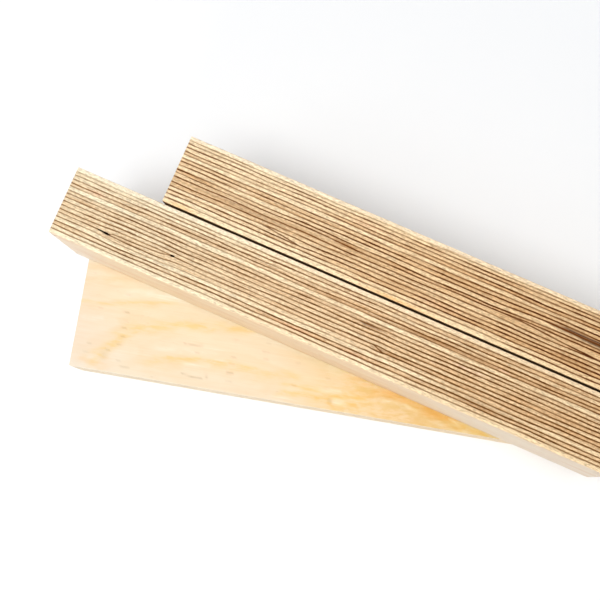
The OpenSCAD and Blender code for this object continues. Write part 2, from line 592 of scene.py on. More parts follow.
def edge_material(name, seed, length, pale, tan, brown, halo, glue, rims, first, mid, last, thin=0.0, swell=0.08, flecks=(0.63, 1.33), knot=(srgb(80, 46, 38), srgb(80, 46, 38)), end=False, tone=1.0):
    """The sawn edge or end of the plies."""
    n = Tree(name)
    u, v, w = n.split(n.attr("loc").outputs["Vector"])
    lay = n.attr("lay").outputs["Fac"]
    gd = n.attr("gd").outputs["Fac"]
    spot = n.attr("spot")
    # tint along the beam: partly the wood's own drift, partly painted light, paler at the start where the light is
    # stronger
    toward_far_end, tint = lengthwise_tint_and_light(n, u, seed, length, first, mid, last)
    ply = n.math("FLOOR", n.math("MINIMUM", n.math("MAXIMUM", lay, 0.0), 16.99))
    key = n.madd(ply, 1.731, seed)
    r1, r2, r3 = n.white(key), n.white(n.add(key, 0.37)), n.white(n.add(key, 0.71))
    # each veneer's grain wanders a little
    wander = n.noise(n.vec(n.mul(u, 1 / 42), n.mul(v, 1 / 6), n.mul(w, 1 / 20)), key, 2.0, 0.5)
    vv = n.add(v, n.madd(wander, 1.6, -0.8))
    # growth rings, nearly parallel to the veneer, that climb through it
    big = n.noise(n.vec(n.mul(u, 1 / 150), n.mul(v, 1 / 24), n.mul(w, 1 / 34)), key, 2.0, 0.5)
    spacing = n.madd(r3, 2.4, 1.9)
    ring = n.add(n.add(n.math("DIVIDE", vv, spacing), n.mul(big, 3.6)), n.mul(r1, 7.0))
    late = wood_ring(n, n.math("FRACT", ring))
    fade = n.step(n.noise(n.vec(n.mul(u, 1 / 40), n.mul(v, 1 / 3), n.mul(w, 1 / 12)), n.add(key, 3.1), 2.0, 0.55), 0.34, 0.66, 0.15, 1.0)
    # streaks along the grain, finer fibres, short dark dashes, small flecks
    if end:
        streak = n.noise(n.vec(n.mul(u, 0.01), n.mul(v, 1 / 0.9), n.mul(w, 1 / 1.2)), key, 3.0, 0.6)
        fibre = n.noise(n.vec(n.mul(u, 0.01), n.mul(v, 1 / 0.2), n.mul(w, 1 / 0.2)), key, 3.0, 0.6)
        dash = n.noise(n.vec(n.mul(u, 0.01), n.mul(v, 1 / 0.5), n.mul(w, 1 / 0.5)), key, 1.0, 0.5)
        fleck = n.noise(n.vec(n.mul(u, 0.01), n.mul(v, 1 / 0.8), n.mul(w, 1 / 0.8)), n.add(key, 6.0), 2.0, 0.6)
    else:
        streak = n.noise(n.vec(n.mul(u, 1 / 38), n.mul(vv, 1 / 0.72), n.mul(w, 1 / 2)), key, 4.0, 0.66)
        fibre = n.noise(n.vec(n.mul(u, 1 / 9), n.mul(v, 1 / 0.20), n.mul(w, 1 / 0.4)), key, 3.0, 0.6)
        dash = n.noise(n.vec(n.mul(u, 1 / 4.5), n.mul(v, 1 / 0.42), n.mul(w, 1 / 0.4)), key, 1.0, 0.5)
        fleck = n.noise(n.vec(n.mul(u, 1 / 3.6), n.mul(v, 1 / 0.60), n.mul(w, 1 / 1.4)), n.add(key, 6.0), 2.0, 0.7)
    patch = n.noise(n.vec(n.mul(u, 1 / 60), n.mul(v, 1 / 5), n.mul(w, 1 / 12)), key, 2.0, 0.5)
    # colour: every veneer has a tone of its own, which drifts along the beam
    own = n.attr("tone").outputs["Fac"]
    ink = n.attr("ink").outputs["Fac"]
    drift = n.noise(n.vec(n.mul(u, 1 / 55), 0.0, n.mul(w, 1 / 75)), n.add(key, 2.7), 2.0, 0.55)
    dull = n.math("MAXIMUM", n.math("ADD", own, n.madd(drift, 1.0, -0.5)), 0.0)
    c = n.mix(n.math("MINIMUM", n.mul(dull, n.madd(toward_far_end, 0.12, 0.44)), 0.95), pale, tan)
    c = n.mix(n.mul(late, n.mul(fade, n.math("MINIMUM", n.madd(dull, 0.40, 0.16), 0.70))), c, n.mix(n.madd(toward_far_end, 0.35, 0.25), tan, brown))
    c = n.mix(n.step(streak, 0.49, 0.76, 0.0, 0.60), c, tan)
    c = n.mix(n.mul(n.step(streak, 0.48, 0.74), n.step(patch, 0.46, 0.70, 0.0, 0.72)), c, brown)
    c = n.mix(n.step(streak, 0.30, 0.42, 0.40, 0.0), c, (0.96, 0.86, 0.70))
    c = n.mix(n.step(dash, 0.60, 0.72, 0.0, 0.55), c, brown)
    c = n.mix(n.step(fibre, 0.35, 0.75, 0.0, 0.30), c, brown, "MULTIPLY")
    # the outermost veneers are the clearest
    c = n.mix(n.step(lay, 16.1, 16.45, 0.0, 0.70), c, rims[1])
    c = n.mix(n.step(lay, 0.60, 0.90, 0.50, 0.0), c, rims[0])
    # painted marks
    sr = n.node("ShaderNodeSeparateColor")
    n.put(sr.inputs[0], spot.outputs["Color"])
    c = n.mix(n.mul(n.math("MULTIPLY", sr.outputs[0], n.step(streak, 0.2, 0.6, 0.55, 1.0)), 0.85), c, brown)
    c = n.mix(n.mul(sr.outputs[1], 0.8), c, srgb(238, 172, 84))
    c = n.mix(n.mul(spot.outputs["Alpha"], 0.6), c, srgb(226, 158, 128))
    c = n.mix(n.mul(sr.outputs[2], n.step(streak, 0.30, 0.60, 0.84, 1.0)), c, n.mix(n.step(streak, 0.44, 0.60), knot[0], knot[1]))
    c = n.mix(n.attr("white").outputs["Fac"], c, srgb(244, 214, 190))
    # light and dark flecks of torn fibre
    val = n.step(fleck, 0.27, 0.73, *flecks)
    c = n.mix(1.0, c, n.vec(val, val, val), "MULTIPLY")
    c = n.mix(1.0, c, tint, "MULTIPLY")
    # glue lines: their place, width and darkness wander along the beam, and the glue stains the wood beside them
    line = n.math("ROUND", lay)
    lkey = n.madd(line, 2.19, seed + 3.3)
    side = n.math("SIGN", n.sub(lay, line))
    creep = n.noise(n.vec(n.mul(u, 1 / 13), 0.0, n.mul(w, 1 / 13)), n.add(lkey, 5.3), 2.0, 0.6)
    sgd = n.math("ABSOLUTE", n.add(n.mul(side, gd), n.madd(creep, 0.36, -0.18)))
    ln = n.noise(n.vec(n.mul(u, 1 / 18), 0.0, n.mul(w, 1 / 18)), lkey, 2.0, 0.6)
    lf = n.noise(n.vec(n.mul(u, 1 / 2.2), n.mul(v, 1 / 1.8), n.mul(w, 1 / 2.2)), lkey, 2.0, 0.65)
    lt = n.noise(n.vec(n.mul(u, 1 / 44), 0.0, n.mul(w, 1 / 44)), n.add(lkey, 9.1), 2.0, 0.55)
    half = n.add(n.step(ln, 0.25, 0.75, 0.22, 0.50), n.madd(lf, 0.40, -0.20))
    half = n.add(n.madd(toward_far_end, swell, half), -thin)
    gmask = n.step(sgd, n.sub(half, 0.12), n.add(half, 0.14), 1.0, 0.0)
    dark = n.math("MINIMUM", n.mul(ink, n.step(lt, 0.32, 0.66, 0.58, 1.26)), 1.0)
    dark = n.mul(dark, n.madd(sr.outputs[2], -0.25, 1.0))
    spread = n.step(sgd, n.mul(half, 0.8), n.add(half, n.madd(lf, 0.7, 0.32)), 1.0, 0.0)
    c = n.mix(n.mul(spread, n.mul(dark, n.madd(toward_far_end, 0.14, 0.80))), c, halo)
    c = n.mix(n.mul(gmask, n.mul(dark, n.madd(toward_far_end, 0.08, 0.92))), c, glue)
    height = n.add(n.add(n.mul(fibre, 0.25), n.mul(streak, 0.25)), n.mul(gmask, -0.45))
    if end:
        # lathe checks: short splits slanting in from one side of each veneer
        q = n.math("FRACT", lay)
        slant = n.madd(v, 0.75, w)
        wob = n.noise(n.vec(0.0, n.mul(v, 1 / 3), n.mul(w, 1 / 5)), key, 2.0, 0.6)
        ch = n.math("FRACT", n.add(n.mul(slant, 1 / 2.6), n.add(n.mul(wob, 1.6), r2)))
        chk = n.mul(n.step(n.math("ABSOLUTE", n.sub(ch, 0.5)), 0.0, 0.05, 1.0, 0.0), n.step(q, 0.15, 0.55, 1.0, 0.0))
        chk = n.mul(chk, n.step(n.noise(n.vec(0.0, n.mul(v, 1 / 4), n.mul(w, 1 / 4)), key, 1.0), 0.4, 0.55))
        c = n.mix(n.mul(chk, 0.6), c, glue)
        height = n.add(height, n.mul(chk, -0.4))
        saw = n.math("SINE", n.add(n.mul(w, 1.9), n.mul(v, 0.35)))
        height = n.add(height, n.mul(saw, 0.12))
    else:
        saw = n.math("SINE", n.add(n.mul(u, 1.35), n.add(n.mul(v, 0.16), n.mul(patch, 2.0))))
        height = n.add(height, n.mul(saw, 0.06))
    if tone != 1.0:
        c = n.mix(1.0, c, (tone, tone, tone), "MULTIPLY")
    rough = n.madd(fibre, 0.2, 0.58)
    return n.finish(c, rough, height, 0.45, 0.0004, 0.10)


def face_material(name, seed, length, pale, late_c, deep, tints, calm=1.0, ticks=1.0, inner=0.0):
    """The rotary cut face veneer: soft oval figure, faint fibres, a few resin ticks."""
    n = Tree(name)
    u, v, w = n.split(n.attr("loc").outputs["Vector"])
    fig = n.attr("fig").outputs["Fac"]
    spot = n.attr("spot")
    # tint along the beam: partly the veneer's own colour drift, partly painted light, paler at the start where the
    # light is stronger
    slow = n.noise(n.vec(n.mul(u, 1 / 140), 0.0, n.mul(w, 1 / 200)), seed + 20.5, 1.0, 0.5)
    tint = n.ramp(n.mul(n.add(u, n.madd(slow, 70.0, -35.0)), 1 / length), tints)
    if calm < 1.0:
        # painted light: the strip along the upper pair's edge is made paler and less yellow, most at the edge and
        # fading over 15 mm, to offset the shade and orange bounce light there
        painted_light_strip = n.sub(w, n.madd(u, 0.2447, 28.9))
        tint = n.mix(1.0, tint, n.mix(n.step(painted_light_strip, 1.0, 15.0), (1.0, 1.085, 1.10), (1.0, 1.02, 1.04)), "MULTIPLY")
        tint = n.mix(1.0, tint, n.mix(n.mul(n.step(w, 100.0, 118.0), n.step(u, 190.0, 270.0, 1.0, 0.0)), (1.0, 1.0, 1.0), (1.0, 1.05, 1.10)), "MULTIPLY")
        # broken yellow patches towards the far end
        patch = n.noise(n.vec(n.mul(u, 1 / 17), 0.0, n.mul(w, 1 / 5)), seed + 3.3, 3.0, 0.65)
        blotch = n.mix(n.step(patch, 0.36, 0.64), (1.03, 1.08, 1.24), (0.97, 0.93, 0.76))
        tint = n.mix(1.0, tint, n.mix(n.step(u, 225.0, 285.0), (1.0, 1.0, 1.0), blotch), "MULTIPLY")
    warp = n.noise(n.vec(n.mul(u, 1 / 44), n.mul(v, 0.2), n.mul(w, 1 / 14)), seed, 3.0, 0.55)
    rag = n.noise(n.vec(n.mul(u, 1 / 6), n.mul(v, 0.2), n.mul(w, 1 / 1.3)), seed + 1.7, 2.0, 0.6)
    ring = n.add(fig, n.add(n.mul(warp, 0.9), n.mul(rag, 0.16)))
    late = wood_ring(n, n.math("FRACT", ring))
    amount = n.noise(n.vec(n.mul(u, 1 / 90), 0.0, n.mul(w, 1 / 30)), seed + 5.1, 2.0, 0.5)
    c = n.mix(n.mul(late, n.step(amount, 0.35, 0.72, 0.06, 0.62 * calm)), pale, late_c)
    mott = n.noise(n.vec(n.mul(u, 1 / 62), 0.0, n.mul(w, 1 / 20)), seed + 8.2, 3.0, 0.6)
    c = n.mix(n.step(mott, 0.42, 0.74, 0.0, 0.55 * calm), c, deep)
    band = n.noise(n.vec(n.mul(u, 1 / 110), 0.0, n.mul(w, 1 / 3.4)), seed + 9.4, 3.0, 0.6)
    c = n.mix(n.step(band, 0.48, 0.76, 0.0, 0.42 * calm), c, late_c)
    c = n.mix(n.step(band, 0.27, 0.42, 0.50 * calm, 0.0), c, (0.96, 0.87, 0.72))
    fibre = n.noise(n.vec(n.mul(u, 1 / 18), 0.0, n.mul(w, 1 / 0.42)), seed + 2.2, 4.0, 0.62)
    c = n.mix(n.step(fibre, 0.40, 0.80, 0.0, 0.24 if calm == 1.0 else 0.34), c, deep)
    dash = n.noise(n.vec(n.mul(u, 1 / 3.6), 0.0, n.mul(w, 1 / 0.5)), seed + 4.4, 1.0, 0.5)
    where = n.noise(n.vec(n.mul(u, 1 / 24), 0.0, n.mul(w, 1 / 9)), seed + 6.6, 2.0, 0.5)
    tick = n.mul(n.step(dash, 0.66, 0.76), n.step(where, 0.48, 0.66))
    c = n.mix(n.mul(tick, 0.34 * ticks), c, srgb(150, 122, 84))
    # drawn bands of the figure
    ragged = n.noise(n.vec(n.mul(u, 1 / 15), 0.0, n.mul(w, 1 / 4.2)), seed + 7.7, 3.0, 0.62)
    soft = n.mul(n.madd(fibre, 0.5, 0.75), n.step(ragged, 0.34, 0.64, 0.50, 1.40))
    c = n.mix(n.mul(n.attr("gold").outputs["Fac"], soft), c, srgb(232, 186, 98))
    c = n.mix(n.mul(n.attr("peach").outputs["Fac"], soft), c, srgb(240, 186, 128))
    c = n.mix(n.mul(n.attr("white").outputs["Fac"], soft), c, (0.97, 0.92, 0.82))
    c = n.mix(n.mul(n.attr("tick").outputs["Fac"], n.step(fibre, 0.30, 0.60, 0.35, 0.95)), c, srgb(170, 142, 96))
    sr = n.node("ShaderNodeSeparateColor")
    n.put(sr.inputs[0], spot.outputs["Color"])
    c = n.mix(n.mul(sr.outputs[0], 0.7), c, srgb(190, 150, 100))
    c = n.mix(n.mul(sr.outputs[1], 0.8), c, srgb(242, 170, 80))
    c = n.mix(n.mul(sr.outputs[2], 0.85), c, srgb(150, 104, 62))
    c = n.mix(1.0, c, tint, "MULTIPLY")
    height = n.add(n.add(n.mul(fibre, 0.5), n.mul(late, 0.3)), n.mul(tick, -0.5))
    if inner:
        # painted shade: only the part that the other beam covers is darkened, standing in for the shade in the narrow
        # gap between the two upper beams
        gap_shade = n.step(u, inner - 4.0, inner + 4.0) if inner > 0 else n.step(u, -inner - 4.0, -inner + 4.0, 1.0, 0.0)
        return n.finish(n.mix(gap_shade, c, n.mix(1.0, c, (0.42, 0.34, 0.27), "MULTIPLY"), "MIX"), n.madd(fibre, 0.1, 0.80), height, 0.30, 0.0003, 0.06)
    rough = n.madd(fibre, 0.2, 0.5)
    return n.finish(c, rough, height, 0.30, 0.0003, 0.3)


def void_shade_material(name):
    """The inside of an open glue joint, painted near black as shade, since the narrow crack gets almost no light."""
    n = Tree(name)
    u, v, w = n.split(n.attr("loc").outputs["Vector"])
    grit = n.noise(n.vec(n.mul(u, 1 / 1.2), n.mul(v, 1 / 0.4), n.mul(w, 1 / 0.6)), 3.0, 2.0, 0.6)
    return n.finish(n.mix(grit, srgb(12, 3, 1), srgb(32, 12, 3)), n.madd(grit, 0.1, 0.88), grit, 0.3, 0.0003, 0.0)


# ---------------------------------------------------------------- the three beams
def node_rect(node):
    """Plan corner, direction, length and width of a CAD box that may be turned about Z: (corner, direction, length, width, z0, z1)."""
    co = np.array([x.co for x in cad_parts[node].data.vertices], float)
    lo, hi = co.min(0), co.max(0)
    near_left = co[np.lexsort((co[:, 0], np.round(co[:, 1], 6)))[0]]
    near_right = co[np.lexsort((co[:, 1], -np.round(co[:, 0], 6)))[0]]
    far_left = co[np.lexsort((-co[:, 1], np.round(co[:, 0], 6)))[0]]
    d = (near_right - near_left)[:2]
    e = (far_left - near_left)[:2]
    return near_left[:2], d / np.hypot(*d), np.hypot(*d), np.hypot(*e), lo[2], hi[2]


lo_f, hi_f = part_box("front_beam")
lo_r, hi_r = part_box("rear_beam")
corner, along, len_b, wid_b, z0, z1 = node_rect("bottom_beam")
across = np.array([-along[1], along[0]])
print("bottom beam", corner, along, len_b, wid_b, z0, z1)


def place_upright(lo):
    def place(P):
        return P + np.array([lo.x, lo.y, lo.z]) / MM
    return place


def place_flat(P):
    start = corner / MM + across * wid_b / MM
    xy = start[None, :] + P[:, :1] * along[None, :] - P[:, 2:3] * across[None, :]
    return np.concatenate([xy, P[:, 1:2] + z0 / MM], 1)


def oval_figure(seed, u0, w0, stretch, spacing):
    """The long ovals that a rotary cut makes where the log's surface bulges."""
    wave = Waves(seed + 11, 8, (110, 30), (420, 110))

    def figure(u, w, side):
        if side == 0:
            return 2.6 * Waves(seed + 12, 9, (150, 38), (620, 120))(u, w) + w / 48
        du = np.minimum(np.abs(u - u0), 170 + 0.25 * np.abs(u - u0)) / stretch
        return np.hypot(du, w - w0) / spacing + 0.35 * wave(u, w)

    return figure


T_MM = (hi_f.y - lo_f.y) / MM
W_MM = (hi_f.z - lo_f.z) / MM
L_F = (hi_f.x - lo_f.x) / MM
L_R = (hi_r.x - lo_r.x) / MM

front = Beam(
    "front_lvl", "front_beam", "lvl_front", L_F, T_MM, W_MM,
    [4.5, 3.7, 3.4, 4.1, 4.0, 3.5, 3.7, 3.8, 3.6, 3.6, 3.2, 4.3, 2.9, 3.4, 3.5, 3.3, 4.5], 101,
    laps=[
        {"ply": 5, "from": 49.5, "to": 108.5, "grow": 3.0, "up": 0.45, "rise": True, "bend": True},
        {"ply": 5, "from": 300, "to": 311, "grow": 0.9, "up": 0.5, "rise": False},
    ],
    swells=[{"ply": 5, "from": 318, "to": 345, "grow": -0.8, "up": 0.6, "soft": 16}],
    holes=[
        {"line": 5, "from": 39.5, "to": 50.4, "deep": 3.6, "half": 0.95, "skew": 2.4},
        {"line": 6, "from": 106.8, "to": 111.0, "deep": 2.8, "half": 0.85},
    ],
    spots=[
        {"kind": "brown", "u": 346, "lu": 34, "v": 47.4, "lv": 1.9, "strength": 0.70},
        {"kind": "knot", "u": 289, "lu": 10, "v": 37.4, "lv": 1.1, "strength": 0.95, "hard": 1.4},
        {"kind": "brown", "u": 296, "lu": 14, "v": 36.6, "lv": 1.5, "strength": 0.7},
        {"kind": "knot", "u": 304, "lu": 5.5, "v": 21.6, "lv": 0.5, "strength": 0.7},
        {"kind": "brown", "u": 318, "lu": 12, "v": 20.6, "lv": 1.3, "strength": 0.7},
        {"kind": "red", "u": 25, "lu": 8, "v": 47.7, "lv": 1.4, "strength": 0.8},
        {"kind": "red", "u": 232, "lu": 16, "v": 8.4, "lv": 1.3, "strength": 0.8},
        {"kind": "red", "u": 290, "lu": 14, "v": 8.4, "lv": 1.3, "strength": 0.5},
        {"kind": "knot", "u": 254.5, "lu": 1.3, "v": 52.2, "lv": 0.7, "strength": 0.9},
        {"kind": "brown", "u": 410, "lu": 40, "v": 12.5, "lv": 2.2, "strength": 0.6},
        {"kind": "knot", "u": 394, "lu": 14, "v": 11.2, "lv": 0.5, "strength": 0.85},
        {"kind": "brown", "u": 262, "lu": 34, "v": 47.0, "lv": 1.6, "strength": 0.45},
    ],
    tones=[
        (0.1, 0.2, 0.05), (0.45, 0.35, 0.25), (0.9, 1.0, 0.85), (0.4, 0.1, 0.1), (0.85, 0.45, 0.7), (0.95, 0.8, 1.0), (0.8, 0.65, 0.55), (0.7, 0.75, 1.0), (0.7, 0.75, 0.6),
        (0.9, 0.8, 0.65), (0.75, 0.9, 0.5), (0.1, 0.3, 0.1), (0.85, 0.9, 1.0), (0.8, 0.85, 0.95), (0.3, 0.5, 0.5), (0.4, 0.5, 0.9), (0.0, 0.1, 0.1),
    ],
    ink=[
        (0.65, 0.7, 0.6), (0.9, 0.95, 0.9), (0.9, 0.9, 1.0), (0.6, 0.6, 0.75), (0.85, 0.75, 0.9), (0.8, 0.8, 0.9), (0.85, 0.8, 0.85), (0.8, 0.9, 0.9),
        (0.8, 0.9, 0.9), (0.9, 0.85, 0.85), (0.6, 0.65, 0.75), (0.55, 0.55, 0.7), (0.85, 0.85, 0.9), (0.65, 0.7, 0.95), (0.6, 0.8, 0.8), (0.4, 0.65, 0.65),
    ],
    inner="right",
    scars=[
        {"u": 380.5, "lu": 10, "v": 35.6, "lv": 0.75, "tilt": -0.09, "strength": 0.95},
        {"u": 396.0, "lu": 7, "v": 35.8, "lv": 0.45, "tilt": -0.09, "strength": 0.7},
        {"u": 410.0, "lu": 9, "v": 47.0, "lv": 0.55, "tilt": -0.10, "strength": 0.75},
    ],
)
rear = Beam(
    "rear_lvl", "rear_beam", "lvl_rear", L_R, T_MM, W_MM,
    [4.6, 3.9, 3.6, 3.6, 3.8, 3.9, 4.1, 3.3, 4.2, 3.6, 3.5, 4.0, 2.8, 3.7, 3.2, 2.9, 4.3], 202,
    laps=[
        {"ply": 3, "from": 87, "to": 128, "grow": 1.4, "up": 0.5, "rise": False},
        {"ply": 6, "from": 312, "to": 402, "grow": 2.8, "up": 0.55, "rise": False, "soft": 26},
    ],
    swells=[
        {"ply": 5, "from": -60, "to": 80, "grow": 1.2, "up": 1.0, "soft": 30},
        {"ply": 6, "from": 105, "to": 165, "grow": 1.1, "up": 1.0, "soft": 24},
        {"ply": 7, "from": 215, "to": 335, "grow": -0.8, "up": 1.0, "soft": 34},
        {"ply": 6, "from": 400, "to": 470, "grow": 1.6, "up": 0.5, "soft": 20},
    ],
    spots=[
        {"kind": "brown", "u": 70, "lu": 55, "v": 22.0, "lv": 3.4, "strength": 0.60},
        {"kind": "brown", "u": 126, "lu": 40, "v": 24.5, "lv": 2.2, "strength": 0.60},
        {"kind": "brown", "u": 163, "lu": 13, "v": 27.9, "lv": 1.7, "strength": 0.95},
        {"kind": "knot", "u": 186, "lu": 12, "v": 27.4, "lv": 0.6, "strength": 0.55},
        {"kind": "knot", "u": 404, "lu": 43, "v": 35.6, "lv": 2.7, "strength": 1.0, "hard": 5.0},
        {"kind": "knot", "u": 377, "lu": 25, "v": 35.9, "lv": 2.3, "strength": 1.0, "hard": 4.0},
        {"kind": "knot", "u": 358, "lu": 9, "v": 36.3, "lv": 1.3, "strength": 1.0, "hard": 3.0},
        {"kind": "resin", "u": 18, "lu": 14, "v": 1.8, "lv": 1.9, "strength": 0.6},
        {"kind": "resin", "u": 222, "lu": 30, "v": 1.4, "lv": 1.3, "strength": 0.8},
        {"kind": "red", "u": 176, "lu": 16, "v": 51.5, "lv": 2.0, "strength": 0.35},
        {"kind": "red", "u": 255, "lu": 18, "v": 12.0, "lv": 2.0, "strength": 0.35},
    ],
    tones=[
        (0.1, 0.0, 0.05), (0.15, 0.3, 0.3), (0.65, 1.0, 1.2), (0.25, 0.9, 0.9), (0.95, 0.7, 0.8), (0.9, 0.6, 0.4), (0.8, 0.9, 0.7), (1.0, 1.0, 1.1), (0.5, 0.55, 0.45),
        (0.85, 1.0, 1.1), (0.95, 1.0, 1.0), (0.1, 0.3, 0.5), (0.6, 1.0, 1.3), (0.5, 0.6, 0.45), (0.35, 0.7, 0.6), (0.15, 0.3, 0.3), (0.0, 0.0, 0.0),
    ],
    ink=[
        (0.75, 0.7, 0.8), (0.9, 0.85, 0.95), (0.9, 1.0, 1.15), (0.8, 0.9, 1.05), (0.85, 0.75, 0.95), (0.9, 0.8, 0.8), (0.95, 0.85, 1.0), (0.9, 0.9, 1.05),
        (0.85, 0.85, 1.15), (0.9, 0.95, 1.05), (0.75, 0.7, 0.95), (0.55, 0.7, 0.8), (0.8, 0.8, 0.9), (0.7, 0.65, 0.85), (0.7, 0.75, 0.8), (0.45, 0.3, 0.5),
    ],
    inner="left",
)
# short dark marks that the peeling lathe leaves, eight millimetres apart in rows across the veneer
marks = [
    (44.5, 54, 3.4, 0.5), (45.5, 71, 4.6, 1.0), (45.5, 78.5, 4.0, 0.9), (45.5, 86.3, 4.4, 0.9), (45.0, 94.5, 4.0, 0.8), (44.0, 102, 5.0, 0.7),
    (34.0, 109.5, 3.4, 0.7), (46.0, 118, 4.0, 0.6), (16.0, 106, 4.0, 0.4), (13.0, 114, 5.0, 0.4), (20.0, 71, 3.0, 0.4), (52.0, 122.5, 8.0, 0.5),
    (153, 80, 3.8, 0.8), (153, 96, 4.0, 0.6), (153, 103, 4.4, 0.5), (152.5, 111.5, 5.0, 1.0), (152, 119.5, 6.0, 0.5),
    (184, 77, 4.0, 0.5), (184, 85.5, 6.0, 0.8), (184, 93, 4.0, 0.5), (184, 117, 4.0, 0.3), (214, 80, 3.4, 0.4), (214, 91.5, 3.4, 0.6), (214, 112.5, 4.0, 0.6),
    (245, 101, 3.6, 0.4), (245, 110, 3.6, 0.5), (119, 97.5, 4.0, 0.5),
]
